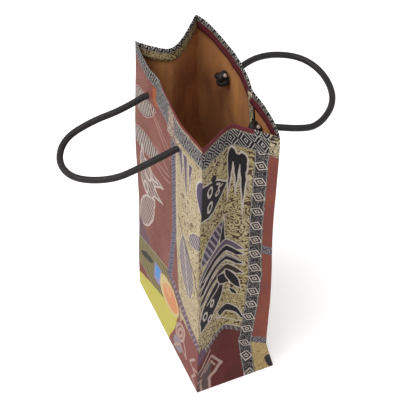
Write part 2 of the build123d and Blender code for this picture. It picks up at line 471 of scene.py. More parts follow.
class Print:
    """Paints a material's colour in layers, in millimetres on the sheet: s along it and z up it."""

    def __init__(self, name, ground, roughness=0.72, wobble=1.1):
        self.material = bpy.data.materials.new(name)
        self.material.use_nodes = True
        self.tree = self.material.node_tree
        self.shader = self.tree.nodes["Principled BSDF"]
        self.shader.inputs["Roughness"].default_value = roughness
        self.shader.inputs["Specular IOR Level"].default_value = 0.2
        coord = self.tree.nodes.new("ShaderNodeUVMap")
        coord.uv_map = "sheet"
        split = self.tree.nodes.new("ShaderNodeSeparateXYZ")
        self.tree.links.new(coord.outputs[0], split.inputs[0])
        raw_s = Num(self.tree, split.outputs[0]) * (1 / MM)
        raw_z = Num(self.tree, split.outputs[1]) * (1 / MM)
        self.raw = self.vector(raw_s, raw_z)
        self.s = raw_s + (self.noise(0.11, self.raw) - 0.5) * (2 * wobble)
        self.z = raw_z + (self.noise(0.09, self.raw, 31.0) - 0.5) * (2 * wobble)
        self.flat = self.vector(self.s, self.z)
        self.colour = None
        self.ground(ground)

    def vector(self, x, y):
        made = self.tree.nodes.new("ShaderNodeCombineXYZ")
        self.tree.links.new(x.socket, made.inputs[0])
        self.tree.links.new(y.socket, made.inputs[1])
        return made.outputs[0]

    def noise(self, scale, vector=None, offset=0.0, detail=1.0, distortion=0.0):
        """Smooth noise between about 0.2 and 0.8, with scale waves to the millimetre."""
        made = self.tree.nodes.new("ShaderNodeTexNoise")
        made.noise_dimensions = "3D"
        place = self.tree.nodes.new("ShaderNodeVectorMath")
        place.operation = "ADD"
        place.inputs[1].default_value = (0.0, 0.0, offset)
        self.tree.links.new(self.flat if vector is None else vector, place.inputs[0])
        self.tree.links.new(place.outputs[0], made.inputs["Vector"])
        made.inputs["Scale"].default_value = scale
        made.inputs["Detail"].default_value = detail
        made.inputs["Distortion"].default_value = distortion
        return Num(self.tree, made.outputs["Fac"])

    def ground(self, colours):
        """Mottles the first colour with the second and the third."""
        broad = (self.noise(0.028, self.raw, 5.0, 3.0) * 3.2 - 1.1).clamp()
        fine = (self.noise(0.35, self.raw, 9.0, 2.0) * 2.6 - 1.35).clamp()
        self.colour = self.mix(self.mix(colours[0], colours[1], broad), colours[2], fine)

    def mix(self, a, b, factor):
        made = self.tree.nodes.new("ShaderNodeMix")
        made.data_type = "RGBA"
        for value, socket in ((a, made.inputs[6]), (b, made.inputs[7])):
            if isinstance(value, tuple):
                socket.default_value = value
            else:
                self.tree.links.new(value, socket)
        self.tree.links.new(factor.socket, made.inputs[0])
        return made.outputs[2]

    def paint(self, mask, colour):
        """Lays a colour over what is painted so far, as strongly as the mask says."""
        self.colour = self.mix(self.colour, colour, mask)

    def block(self, shape, colour):
        """Prints a shape in one colour."""
        self.paint(self.fill(shape), colour)

    def blotches(self, shape, colour, scale, offset, level, strength):
        """Lets a second colour show in soft patches of a shape."""
        patches = (self.noise(scale, self.raw, offset) * 4.0 - level).clamp()
        self.paint(self.fill(shape) * patches * strength, colour)

    def fill(self, distance, soft=0.6):
        """1 inside a shape, where its distance is below zero, and 0 outside."""
        return distance.node("MULTIPLY_ADD", -1.0 / soft, 0.5, clamp=True)

    def local(self, start, end):
        """Coordinates along and across the line from start to end, and its length."""
        ds, dz = end[0] - start[0], end[1] - start[1]
        length = hypot(ds, dz)
        x, y = self.s - start[0], self.z - start[1]
        return x * (ds / length) + y * (dz / length), y * (ds / length) - x * (dz / length), length

    def leaf(self, start, end, half_width):
        """A lens from start to end, widest in its middle."""
        t, a, length = self.local(start, end)
        return a.abs() - t * (length - t) * (4 * half_width / length**2)

    def spike(self, base, tip, half_width):
        """A tapering tooth from its base to its tip."""
        t, a, length = self.local(base, tip)
        return (a.abs() - (length - t) * (half_width / length)).max(-t)

    def bar(self, start, end, half_width):
        t, a, length = self.local(start, end)
        return (a.abs() - half_width).max((t - length / 2).abs() - length / 2)

    def ellipse(self, centre, radii, turn=0.0):
        c, n = cos(radians(turn)), sin(radians(turn))
        x, y = self.s - centre[0], self.z - centre[1]
        u, v = (x * c + y * n) * (1 / radii[0]), (y * c - x * n) * (1 / radii[1])
        return ((u * u + v * v).sqrt() - 1.0) * min(radii)

    def ring(self, centre, radii, half_width, turn=0.0):
        return self.ellipse(centre, radii, turn).abs() - half_width

    def beyond(self, point, towards):
        """A half-plane: below zero on the side of point that towards looks to."""
        length = hypot(*towards)
        return ((self.s - point[0]) * towards[0] + (self.z - point[1]) * towards[1]) * (-1 / length)

    def stripes(self, start, end, period, share=0.5):
        """Lines across the direction from start to end."""
        t, a, length = self.local(start, end)
        return ((t * (1 / period)).fract() - 0.5).abs() * period - share * period / 2

    def squiggles(self, inside, ink, scale=0.15, turns=5.0, weight=0.19):
        """Fine worm-like lines that fill a region: contours of noise, one of them at its middle value."""
        level = self.noise(scale, self.raw, 17.0, 0.0, 0.6) * turns + (5.5 - turns / 2)
        contour = (level.fract() - 0.5).abs()
        self.paint(self.fill(inside) * self.fill(contour - weight, 0.12), ink)

    def polygon(self, *points):
        """A convex shape through points given anticlockwise."""
        shape = None
        for (s0, z0), (s1, z1) in zip(points, points[1:] + points[:1]):
            side = self.beyond((s0, z0), (z0 - z1, s1 - s0))
            shape = side if shape is None else shape.max(side)
        return shape

    def lines(self, points, half_width, colour):
        """A drawn line through points."""
        for start, end in zip(points, points[1:]):
            t, a, length = self.local(start, end)
            past = (t - length / 2).abs() - length / 2
            near = past.max(0.0)
            self.block((near * near + a * a).sqrt() - half_width, colour)

    def carved(self, shape, ink, outline, stripes=None, pale=None, rim=1.5):
        """A block-printed shape: inked, outlined, and striped where stripes are given."""
        self.block(shape - rim, outline)
        self.block(shape, ink)
        if stripes is not None:
            self.paint(self.fill(shape + 0.8) * self.fill(stripes), pale)

    def band(self, start, end, half_width, dark, pale, period, nested=False, pitch=3.6):
        """A border band of squares on their corners, on speckled ink."""
        t, a, length = self.local(start, end)
        region = self.fill((a.abs() - half_width).max((t - length / 2).abs() - length / 2))
        cell = ((t * (1 / period)).fract() - 0.5) * period
        wander = (self.noise(0.5, self.raw, 3.0) - 0.5) * 0.9
        self.paint(region, dark)
        if nested:
            d = (cell + a * 0.25).abs() * (half_width * 1.7 / period) + a.abs() * 0.72 + wander
            repeat = ((d * (1 / pitch)).fract() - 0.5).abs() * pitch - 0.125 * pitch
            self.paint(region * self.fill(repeat, 0.4), pale)
        else:
            d = (cell * 0.88 + a * 0.47).abs().max((a * 0.88 - cell * 0.47).abs()) + wander
            rings = ((d - half_width * 0.66).abs() - 0.62).min((d - half_width * 0.24).abs() - 0.5)
            self.paint(region * self.fill(rings, 0.4), BONE)
            speck = ((self.noise(0.5, self.raw, 27.0, 0.5) * 4.0).fract() - 0.5).abs() - 0.1
            self.paint(region * self.fill(half_width * 0.9 - d) * self.fill(speck, 0.1) * 0.7, pale)
        self.paint(region * self.fill((a.abs() - half_width + 0.8).abs() - 0.3, 0.4) * 0.6, pale)

    def finish(self, grain=0.10, scale=0.9, worn=0.05):
        """Adds paper grain, faint wear and the shader links."""
        fibres = self.noise(scale, self.raw, 41.0, 3.0)
        creases = self.noise(0.06, self.raw, 53.0, 2.0)
        add_bump(self.tree, self.shader, fibres * 0.35 + creases, grain * 6, 0.0006)
        scuffs = (self.noise(0.5, self.raw, 61.0, 4.0) * 5.0 - 3.0).clamp() * worn * 4
        final = self.mix(self.colour, linear(214, 196, 180), scuffs)
        self.tree.links.new(final, self.shader.inputs["Base Color"])
        rough = fibres * 0.22 + (self.shader.inputs["Roughness"].default_value - 0.11)
        self.tree.links.new(rough.socket, self.shader.inputs["Roughness"])
        return self.material


RUST = (linear(156, 92, 78), linear(134, 70, 60), linear(168, 110, 96))
SALLOW = linear(196, 180, 122)
CREAM = linear(222, 204, 166)
STRAW = linear(208, 190, 138)
SAND = linear(212, 186, 132)
INK = linear(36, 28, 38)
BROWN_INK = linear(92, 62, 42)
FAINT_INK = linear(146, 122, 92)
BONE = linear(226, 212, 200)
PINK = linear(204, 170, 158)
SMOKE = linear(112, 96, 112)
DUSK = linear(94, 62, 60)
YELLOW = linear(226, 214, 100)
EGG_WHITE = linear(236, 210, 150)
ORANGE = linear(240, 160, 110)
SKY = linear(92, 164, 230)
MAROON = linear(114, 44, 52)
STRIP_RUST = linear(148, 78, 68)
DARK_RUST = linear(116, 54, 50)
BORDER_PALE = linear(214, 208, 198)
VIOLET, LILAC = linear(88, 74, 94), linear(168, 158, 170)
MAUVE = linear(176, 168, 172)
LEAF_GREY, LEAF_PALE = linear(132, 116, 124), linear(200, 188, 180)
FIN_GREY, FIN_PALE = linear(84, 72, 92), linear(176, 164, 172)
OLIVE, OLIVE_EDGE, OLIVE_PALE = linear(112, 100, 64), linear(186, 174, 140), linear(168, 150, 96)

# Ends of lines that run past a wall's sides, so that they reach its edges
BEFORE, AFTER = -12, 170


def union(shape, *others):
    """Joins shapes into one."""
    for other in others:
        shape = shape.min(other)
    return shape


def border(p, height, half_width, period=12.0):
    """The patterned border that runs round the bag below its rim."""
    p.band((BEFORE, height), (AFTER, height), half_width, INK, BORDER_PALE, period, nested=True)


def hem_print(p, first, second, split=347.0):
    """The print on the turned-in hem, above the rim's own height on the sheet."""
    p.block(p.beyond((0, HEIGHT - 4), (0, 1)), INK)
    border(p, 342, 5.2, 8.0)
    lower = p.beyond((0, split), (0, 1))
    p.block(lower, first)
    if second is not None:
        p.squiggles(lower, second, scale=0.2)


def feathers(p, shapes):
    """Leaf shapes filled with cross stripes."""
    for start, end, width, comb in shapes:
        p.carved(p.leaf(start, end, width), DUSK, PINK, p.stripes(start, end, comb, 0.42), BONE, 1.1)


def hatched_leaf(p, start, end, half_width, hatch_from, hatch_to):
    stripes = p.stripes(hatch_from, hatch_to, 5.0, 0.36)
    p.carved(p.leaf(start, end, half_width), LEAF_GREY, CREAM, stripes, LEAF_PALE, 1.6)


def hatched_fin(p, start, end, hatch_from, hatch_to):
    stripes = p.stripes(hatch_from, hatch_to, 5.2, 0.4)
    p.carved(p.leaf(start, end, 11), FIN_GREY, BONE, stripes, FIN_PALE, 1.6)


def olive_band(p, shape, hatch_from, hatch_to):
    p.carved(shape, OLIVE, OLIVE_EDGE, p.stripes(hatch_from, hatch_to, 7.0, 0.42), OLIVE_PALE, 1.4)


def spikes(p, ink, rim, shapes):
    for base, tip, half_width in shapes:
        p.carved(p.spike(base, tip, half_width), ink, BONE, rim=rim)


def arcs(p, middle, lean, heights):
    """Arches one below another, cut off low down by a leaning line."""
    for height, ink in heights:
        ring = p.ring((middle, height - 46), (36, 46), 2.5)
        p.carved(ring.max(p.beyond((0, height - 22), (lean, 1))), ink, BONE, rim=1.2)


def rings(p, colour, half_width, shapes):
    for centre, radii, turn in shapes:
        p.block(p.ring(centre, radii, half_width, turn), colour)


def front_feathers(p):
    """Feathered shapes and line work on the rust ground."""
    feathers(p, (((-14, 268), (58, 304), 13, 5.6), ((-14, 222), (68, 256), 12, 6.0)))
    for points in (
        ((44, 300), (74, 292), (94, 286)),
        ((50, 294), (76, 284), (95, 277)),
        ((52, 240), (78, 247), (92, 253)),
        ((56, 236), (82, 240), (93, 246)),
        ((60, 262), (90, 258)),
    ):
        p.lines(points, 0.8, linear(194, 150, 138))


def front_figure(p):
    """A striped form with three horns and a tapering tail."""
    horns = (
        p.spike((40, 204), (72, 219), 9),
        p.spike((38, 190), (69, 196), 8),
        p.spike((24, 206), (22, 228), 8),
    )
    figure = union(p.ellipse((34, 196), (18, 23), -14), *horns, p.leaf((52, 182), (4, 106), 13))
    stripes = p.stripes((10, 112), (52, 204), 7.5, 0.34)
    p.carved(figure, linear(192, 166, 156), BONE, stripes, linear(104, 76, 72), 1.6)
    rings(p, BONE, 1.1, (((36, 205), (8, 9), -14),))
    rings(p, BONE, 1.0, (((30, 180), (5, 8), -20),))
    p.lines(((62, 214), (46, 206), (60, 197)), 1.0, BONE)


def front_cream_shapes(p):
    """Spikes and hatched leaves on the cream field."""
    spikes(p, SMOKE, 0.9, (((119, 313), (122, 278), 3.4), ((128, 312), (130, 258), 3.2)))
    spikes(p, SMOKE, 0.9, (((137, 308), (136, 280), 2.6),))
    hatched_leaf(p, (134, 124), (124, 208), 15, (116, 150), (146, 172))
    p.lines(((134, 126), (128, 166), (124, 206)), 0.8, BONE)
    stripes = p.stripes((136, 212), (160, 240), 4.6, 0.34)
    p.carved(p.leaf((164, 236), (136, 210), 8), SMOKE, BONE, stripes, BONE, 1.0)
    p.lines(((112, 222), (128, 196), (146, 176), (154, 150)), 1.0, linear(120, 100, 90))
    p.carved(p.ellipse((160, 281), (12, 22), 12), linear(96, 84, 110), BONE)


def front_foot(p):
    """A yellow patch with blue and orange, an olive band, and pale figures on rust."""
    foot = p.polygon((-9, -9), (86, -9), (99, 38), (117, 76), (96, 66), (-9, 60))
    band = p.polygon((-9, 40), (104, 40), (92, 116), (60, 106), (30, 92), (-9, 74))
    p.block(p.polygon((-9, 60), (40, 84), (30, 108), (-9, 112)) - 1, linear(120, 84, 92))
    olive_band(p, band, (0, 60), (60, 104))
    p.block(p.leaf((6, 58), (44, 82), 5), linear(52, 46, 34))
    p.block(foot, YELLOW)
    p.blotches(foot, linear(198, 188, 66), 0.05, 33.0, 2.1, 0.5)
    p.block(p.ellipse((84, 74), (25, 22)), EGG_WHITE)
    p.block(p.ellipse((88, 74), (18, 16), 12), ORANGE)
    p.block(p.ellipse((82, 80), (9, 7)), linear(248, 182, 134))
    p.block(p.polygon((44, 58), (58, 60), (66, 92), (48, 88)), linear(160, 160, 214))
    p.block(p.polygon((48, 66), (58, 70), (63, 90), (50, 86)), SKY)
    stripes = p.stripes((84, 114), (156, 70), 5.0, 0.34)
    diagonal = p.bar((84, 114), (160, 66), 5.5)
    p.carved(diagonal, linear(116, 92, 106), linear(150, 108, 100), stripes, linear(168, 150, 160), 2.0)
    rust_corner = p.polygon((86, -9), (170, -9), (170, 62), (140, 70), (118, 76), (99, 38))
    p.block(rust_corner, linear(150, 80, 72))
    rings(p, PINK, 1.4, (((113, 48), (8, 17), -24), ((113, 48), (3.4, 9), -24)))
    p.block(p.ellipse((106, 20), (10, 14), -24), linear(164, 150, 156))
    for points in (
        ((96, 6), (110, 26), (128, 22), (118, 50)),
        ((148, 46), (137, 30), (150, 22), (142, 10), (152, 2)),
        ((156, 34), (146, 28)),
    ):
        p.lines(points, 1.3, PINK)


def front_borders(p):
    """The band between rust and cream, and the pieced border below the rim."""
    for start, end in (((103, 314), (102, 190)), ((102, 194), (86, 106))):
        p.band(start, end, 5.0, VIOLET, LILAC, 9.0, nested=True)
    p.block(p.bar((110.5, 312), (109, 180), 1.6), CREAM)
    p.block(p.bar((56, 328), (57, 310), 6), linear(184, 98, 56))
    patch = p.polygon((88, 308), (112, 308), (112, 341), (86, 341))
    p.block(patch, linear(206, 180, 158))
    p.squiggles(patch, linear(110, 84, 84))
    p.block(p.beyond((0, HEIGHT - 1), (0, 1)), linear(126, 58, 56))
    p.band((-10, 336), (62, 336), 6.5, INK, linear(196, 190, 182), 9.0, nested=True)
    p.band((57, 328), (90, 328), 13.0, INK, BORDER_PALE, 13.0, nested=True)
    p.band((104, 328), (AFTER, 328), 9.5, linear(58, 50, 60), BORDER_PALE, 12.0, nested=True)


def print_front():
    p = Print("print_front", RUST)
    field = p.beyond((105, 200), (1, 0.05))
    p.block(field, CREAM)
    p.blotches(field, STRAW, 0.035, 77.0, 1.9, 0.6)
    p.squiggles(field, FAINT_INK, weight=0.14)
    for paint_part in (front_feathers, front_figure, front_cream_shapes, front_foot, front_borders):
        paint_part(p)
    return p.finish()


def right_paddle(p):
    """A dark paddle with pale rings."""
    paddle = p.polygon((-9, 258), (12, 250), (19, 251), (34, 268), (38, 274), (21, 289), (-9, 300))
    p.carved(paddle, INK, BONE, rim=2.0)
    p.block(p.ellipse((17, 294), (3.5, 5), 30), INK)
    rings(p, BONE, 0.95, (((12, 282), (3.2, 5.2), 0), ((13, 262), (3.2, 5.6), 0)))
    rings(p, BONE, 0.95, (((24, 271), (2.6, 2.6), 0),))
    p.lines(((22, 284), (27, 280), (25, 276), (31, 277)), 1.0, BONE)


def right_middle(p):
    """A hatched fin and the arcs across the middle."""
    hatched_fin(p, (4, 190), (38, 226), (10, 200), (34, 212))
    spikes(p, INK, 1.0, (((36, 196), (37, 226), 4),))
    arcs(p, 34, -0.25, ((192, SMOKE), (184, INK), (171, INK), (158, linear(66, 50, 46))))
    p.lines(((6, 168), (26, 178), (56, 166)), 0.8, linear(190, 178, 176))


def right_fish(p):
    """A fish-like form with rings, and wedges beside it."""
    fish = union(p.leaf((36, 152), (3, 96), 13), p.ellipse((13, 112), (11, 13), -30))
    p.carved(fish, INK, BONE, rim=2.0)
    rings(p, BONE, 0.9, (((9, 114), (3.0, 5.0), 0), ((17, 103), (2.6, 4.0), 0), ((20, 124), (2.4, 4.2), 0)))
    p.lines(((12, 128), (26, 136), (36, 150)), 0.9, BONE)
    for start, end, half_width in (
        ((28, 156), (44, 134), 5),
        ((40, 154), (55, 128), 4.5),
        ((45, 126), (52, 118), 2.5),
    ):
        p.carved(p.leaf(start, end, half_width), INK, BONE, rim=1.2)


def right_fork(p):
    """A forked shape beside the fold, and an arch lower down."""
    fork = union(
        p.ellipse((42.5, 306), (4.2, 8)),
        p.ellipse((53.2, 302), (4.0, 7)),
        p.bar((42, 302.5), (54, 300), 5.4),
        p.spike((41.5, 306), (41, 262), 3.6),
        p.spike((54, 302), (55.6, 248), 3.6),
        p.spike((48, 300), (48.4, 268), 3.0),
    )
    p.carved(fork, INK, BONE, rim=1.5)
    arch = p.leaf((30, 100), (60, 82), 9).max(-p.leaf((34, 90), (60, 74), 9))
    p.carved(arch, INK, BONE, rim=1.5)
    p.lines(((28, 92), (44, 78), (60, 76)), 0.8, BONE)


def right_foot(p):
    """A dark foot with a pale zigzag."""
    foot = p.polygon((-9, -9), (70, -9), (70, 58), (30, 62), (14, 52), (-9, 42))
    stripes = p.stripes((0, 60), (20, 66), 4.6, 0.4)
    p.carved(foot - 7, linear(98, 84, 88), BONE, stripes, linear(158, 148, 148), 1.2)
    p.block(p.polygon((-9, 40), (12, 48), (10, 66), (-9, 62)), linear(118, 84, 112))
    p.block(foot, DARK_RUST)
    p.blotches(foot, linear(92, 44, 42), 0.05, 13.0, 2.0, 0.6)
    p.block(p.polygon((-9, -9), (12, -9), (24, 26), (14, 34), (-9, 20)), linear(116, 92, 92))
    p.lines(((-6, 26), (8, 34), (20, 50)), 1.3, PINK)
    p.lines(((6, 22), (22, 38), (33, 22), (16, 10), (13, -6)), 1.4, PINK)
    p.lines(((12, 22), (22, 30), (26, 22)), 1.0, PINK)
    p.lines(((-6, 16), (6, 14), (4, -6)), 1.2, PINK)


def right_strips(p):
    """The strips at the back edge, and the border and rim above them."""
    edge = union(p.beyond((74, 100), (1, 0.012)), p.polygon((64, 46), (80, 46), (80, 154), (70, 154)))
    p.block(edge, STRIP_RUST)
    p.blotches(edge, linear(172, 96, 62), 0.04, 47.0, 1.8, 0.6)
    low = p.polygon((62, -9), (99, -9), (99, 44), (64, 44))
    p.block(low, SAND)
    p.squiggles(low, linear(172, 132, 72), weight=0.14)
    p.block(p.ellipse((84, 10), (6, 11)), linear(58, 52, 58))
    p.band((70, 48), (99, 46), 5.0, linear(92, 80, 88), MAUVE, 8.0, nested=True)
    p.band((70, 190), (99, 184), 5.0, linear(98, 82, 98), MAUVE, 8.0, nested=True)
    for start, end in (((70, 330), (69, 150)), ((69.5, 154), (64, 46)), ((64, 50), (57, -9))):
        p.band(start, end, 6.4, INK, BORDER_PALE, 20.0)
    border(p, 326.5, 9.5, 15.0)
    p.band((60, 341), (78, 341), 6.0, INK, BORDER_PALE, 8.0, nested=True)
    patch = p.polygon((76, 316), (99, 316), (99, 352), (76, 352))
    p.block(patch, CREAM)
    p.squiggles(patch, INK, weight=0.2)
    p.block(p.beyond((0, 336.5), (0, 1)).max(p.beyond((62, 0), (-1, 0))), MAROON)


def print_right():
    p = Print("print_right", (CREAM, STRAW, SALLOW))
    p.paint((p.noise(0.03, p.raw, 91.0) * 5.0 - 2.6).clamp() * 0.5, linear(194, 180, 104))
    p.squiggles(p.beyond((0, 0), (0, 1)), BROWN_INK)
    for paint_part in (right_paddle, right_middle, right_fish, right_fork, right_foot, right_strips):
        paint_part(p)
    return p.finish(worn=0.02)


def back_figure(p):
    """Feathers, and a striped form like the front's, the other way round."""
    feathers(p, (((90, 258), (166, 222), 11, 5.6), ((98, 304), (164, 284), 9, 5.2)))
    horns = (p.spike((116, 198), (84, 214), 9), p.spike((118, 184), (86, 190), 8))
    figure = union(p.ellipse((120, 190), (17, 22), 14), *horns, p.leaf((104, 178), (152, 104), 13))
    stripes = p.stripes((104, 204), (146, 112), 6.4, 0.4)
    p.carved(figure, linear(168, 126, 118), BONE, stripes, linear(96, 78, 76), 1.4)
    rings(p, BONE, 1.1, (((119, 198), (8, 9), 14),))


def back_foot(p):
    foot = p.polygon((60, -9), (170, -9), (170, 58), (84, 66), (64, 76))
    olive_band(p, foot - 9, (150, 60), (90, 84))
    p.block(foot, YELLOW)
    p.block(p.ellipse((96, 44), (24, 20), -12), EGG_WHITE)
    p.block(p.ellipse((96, 44), (17, 14), -12), ORANGE)
    p.block(p.polygon((124, 24), (140, 28), (136, 60), (122, 56)), SKY)
    low = p.polygon((-9, -9), (48, -9), (48, 40), (-9, 42))
    p.block(low, SAND)
    p.squiggles(low, BROWN_INK)


def print_back():
    p = Print("print_back", RUST)
    field = p.beyond((52, 200), (-1, 0.05))
    p.block(field, CREAM)
    p.squiggles(field, FAINT_INK, weight=0.14)
    p.block(p.beyond((14, 0), (-1, 0)), STRIP_RUST)
    back_figure(p)
    hatched_leaf(p, (34, 112), (28, 200), 14, (16, 150), (46, 172))
    top_spikes = (((24, 304), (22, 262), 3.4), ((33, 304), (34, 250), 3.6), ((42, 302), (44, 268), 2.8))
    spikes(p, SMOKE, 0.9, top_spikes)
    back_foot(p)
    p.band((54, 320), (54, 60), 5.5, VIOLET, LILAC, 9.0, nested=True)
    border(p, 330, 8.0)
    hem_print(p, MAROON, None)
    return p.finish()


def print_left():
    p = Print("print_left", (CREAM, STRAW, SALLOW))
    p.squiggles(p.beyond((0, 0), (0, 1)), BROWN_INK)
    p.carved(p.polygon((46, 262), (66, 250), (94, 262), (94, 298), (64, 290)), INK, BONE, rim=2.0)
    rings(p, BONE, 1.0, (((70, 276), (3.4, 5.4), 0),))
    hatched_fin(p, (50, 190), (82, 226), (56, 200), (80, 212))
    arcs(p, 50, 0.25, ((186, INK), (172, INK), (158, INK)))
    p.carved(p.leaf((50, 150), (82, 96), 12), INK, BONE, rim=2.0)
    for height in (306, 232):
        spikes(p, INK, 1.2, [((s, height), (s + 1.5, height - 46), 3.8) for s in (9, 19, 29)])
    p.block(p.polygon((-9, -9), (99, -9), (99, 60), (40, 66), (-9, 50)), DARK_RUST)
    p.lines(((86, 54), (60, 22), (74, 12), (70, -6)), 1.4, PINK)
    p.lines(((30, 52), (8, 14), (34, 24)), 1.3, PINK)
    p.band((40, 320), (42, 66), 6.4, INK, BORDER_PALE, 20.0)
    border(p, 330, 8.0)
    hem_print(p, STRAW, BROWN_INK)
    return p.finish()


def seam_print_with_painted_light():
    """The printed edge that is turned in along the side seam, with painted light: a painted lift on its
    ground and a painted shadow line.
    """
    # Pale cream print ground, painted paler still as a painted lift against the shade of the back wall
    p = Print("seam_print_with_painted_light", (linear(244, 230, 200), linear(230, 212, 172), linear(236, 220, 184)))
    p.squiggles(p.beyond((0, -99), (0, 1)), INK, weight=0.13)
    # Painted shadow: this ink band along the edge's near side stands in for the shadow line beside the
    # raised turned edge
    p.block(p.beyond((0, 1.6), (0, -1)), INK)
    return p.finish()


def waxed_inside():
    """The paper's waxed back: warm brown, blotched and streaked, with a soft sheen."""
    level = 0.72
    ground = (linear(226, 160, 102, level), linear(186, 126, 88, level), linear(238, 174, 106, level))
    p = Print("waxed_inside", ground, roughness=0.46)
    streak = p.tree.nodes.new("ShaderNodeMapping")
    streak.inputs["Scale"].default_value = (1.0, 0.22, 1.0)
    p.tree.links.new(p.raw, streak.inputs["Vector"])
    dark_streaks = p.noise(0.05, streak.outputs[0], 7.0, 3.0) * 4.0 - 1.9
    light_streaks = p.noise(0.04, streak.outputs[0], 23.0, 2.0) * 4.0 - 2.2
    spots = p.noise(0.16, p.raw, 71.0, 2.0) * 6.0 - 3.9
    p.paint(dark_streaks.clamp() * 0.7, linear(148, 96, 74, level))
    p.paint(light_streaks.clamp() * 0.8, linear(250, 184, 98, level))
    p.paint(spots.clamp() * 0.6, linear(166, 92, 76, level))
    material = p.finish(grain=0.06, scale=0.5, worn=0.015)
    p.shader.inputs["Coat Weight"].default_value = 0.25
    p.shader.inputs["Coat Roughness"].default_value = 0.3
    return material


def cut_edge():
    p = Print("cut_edge", (linear(188, 130, 104), linear(160, 96, 84), linear(206, 160, 130)))
    return p.finish()


def object_noise(tree, scale, detail=3.0):
    coord = tree.nodes.new("ShaderNodeTexCoord")
    made = tree.nodes.new("ShaderNodeTexNoise")
    made.inputs["Scale"].default_value = scale
    made.inputs["Detail"].default_value = detail
    tree.links.new(coord.outputs["Object"], made.inputs["Vector"])
    return Num(tree, made.outputs["Fac"])


def mottled(name, dark, light, scale, roughness, grain):
    """A plain material mottled between two colours, with a fine bump."""
    material = bpy.data.materials.new(name)
    material.use_nodes = True
    tree = material.node_tree
    shader = tree.nodes["Principled BSDF"]
    shader.inputs["Specular IOR Level"].default_value = 0.3
    blotch = (object_noise(tree, scale) * 2.4 - 0.7).clamp()
    mix = tree.nodes.new("ShaderNodeMix")
    mix.data_type = "RGBA"
    mix.inputs[6].default_value, mix.inputs[7].default_value = dark, light
    tree.links.new(blotch.socket, mix.inputs[0])
    tree.links.new(mix.outputs[2], shader.inputs["Base Color"])
    fine = object_noise(tree, grain, 4.0)
    rough = fine * 0.2 + (roughness - 0.1)
    tree.links.new(rough.socket, shader.inputs["Roughness"])
    add_bump(tree, shader, fine, 0.5, 0.0003)
    return material


CORD_BLACK = mottled("cord_black", linear(34, 31, 31), linear(50, 46, 45), 160.0, 0.58, 1400.0)
# Painted highlight: the pale end of each knot's cut tail stands in for the small glint at the side of each
# knot
CORD_PALE_END_GLINT = mottled("cord_pale_end_painted_glint", linear(196, 170, 156), linear(226, 206, 196), 900.0, 0.8, 2400.0)
CARD = mottled("base_card_brown", linear(96, 62, 42), linear(126, 86, 58), 60.0, 0.8, 900.0)
BASE_PRINT = mottled("base_rust", linear(120, 58, 52), linear(152, 84, 72), 45.0, 0.75, 700.0)
WAXED = waxed_inside()
EDGE = cut_edge()
DARK_EDGE = mottled("dark_edge", linear(52, 34, 38), linear(84, 52, 50), 90.0, 0.7, 900.0)
PRINTS = {"front": print_front(), "right": print_right(), "back": print_back(), "left": print_left()}


# ---------------------------------------------------------------- walls


def build_walls():
    half = GUSSET_COLUMNS // 2
    for name, stretch, first, count, node in (
        ("front_wall", "front", 0, PANEL_COLUMNS, "front_panel"),
        ("right_gusset_front_half", "right", 0, half, "right_gusset_front"),
        ("right_gusset_back_half", "right", half, half, "right_gusset_back"),
        ("back_wall", "back", 0, PANEL_COLUMNS, "back_panel"),
        ("left_gusset_back_half", "left", 0, half, "left_gusset_back"),
        ("left_gusset_front_half", "left", half, half, "left_gusset_front"),
    ):
        start = STRETCH_START[stretch] + first
        materials = (PRINTS[stretch], WAXED, EDGE)
        wall = wall_piece(name, start, start + count, first * STEP[stretch], materials)
        declare(wall, "bag", "printed_paper", node)


build_walls()


# ---------------------------------------------------------------- rim hem and side seam

# Hem profile, as depth inside the outer face and height above the rim. The print runs over the fold.
HEM_OUTSIDE = (
    (-0.05, -0.6), (-0.1, 0.2), (0.1, 0.8), (0.6, 1.1), (1.2, 0.95), (1.6, 0.4),
    (1.75, -1.0), (1.7, -3.6), (1.9, -6.4), (2.2, -9.2), (2.8, -12.0),
)
HEM_INSIDE = ((2.3, -12.2), (1.7, -9.4), (1.35, -6.4), (1.1, -3.4), (0.75, -0.6))
LOOSE_DEPTH = 1.5  # deeper than this, the hem stands off the wall by a varying amount
TOP_ROW = len(ROWS) - 1


def hem_piece(name, first, last, stretch):
    """The turned-in rim along a stretch of the sheet, as one closed strip."""
    profile = HEM_OUTSIDE + HEM_INSIDE
    runs = [0.0]
    for (d0, h0), (d1, h1) in zip(HEM_OUTSIDE, HEM_OUTSIDE[1:]):
        runs.append(runs[-1] + hypot(d1 - d0, h1 - h0))
    points, coords = [], []
    for i in range(first, last + 1):
        top = sheet_point(i, TOP_ROW, 0)
        step = INWARD[TOP_ROW][i % len(COLUMNS)]
        curl = 1 + 0.35 * noise.noise(Vector((top.x, top.y, 7.0)) * 0.08)
        lift = 0.35 * noise.noise(Vector((top.x, top.y, 3.0)) * 0.16)
        for k, (depth, height) in enumerate(profile):
            reach = depth * (curl if depth > LOOSE_DEPTH else 1)
            run = runs[k] if k < len(runs) else 0
            points.append(top + step * reach + Vector((0, 0, height + lift)))
            coords.append(((i - first) * STEP[stretch], HEIGHT + HEM_OUTSIDE[0][1] + run))
    count = len(profile)
    faces = ring_faces(last - first + 1, count)
    printed = len(HEM_OUTSIDE) - 1
    slots = ([PRINT_SLOT] * printed + [INSIDE_SLOT] * (count - printed)) * (last - first)
    end = (last - first) * count
    faces += [tuple(range(count)), tuple(end + k for k in reversed(range(count)))]
    slots += [EDGE_SLOT, EDGE_SLOT]
    return new_piece(name, points, faces, (PRINTS[stretch], WAXED, EDGE), slots, coords)


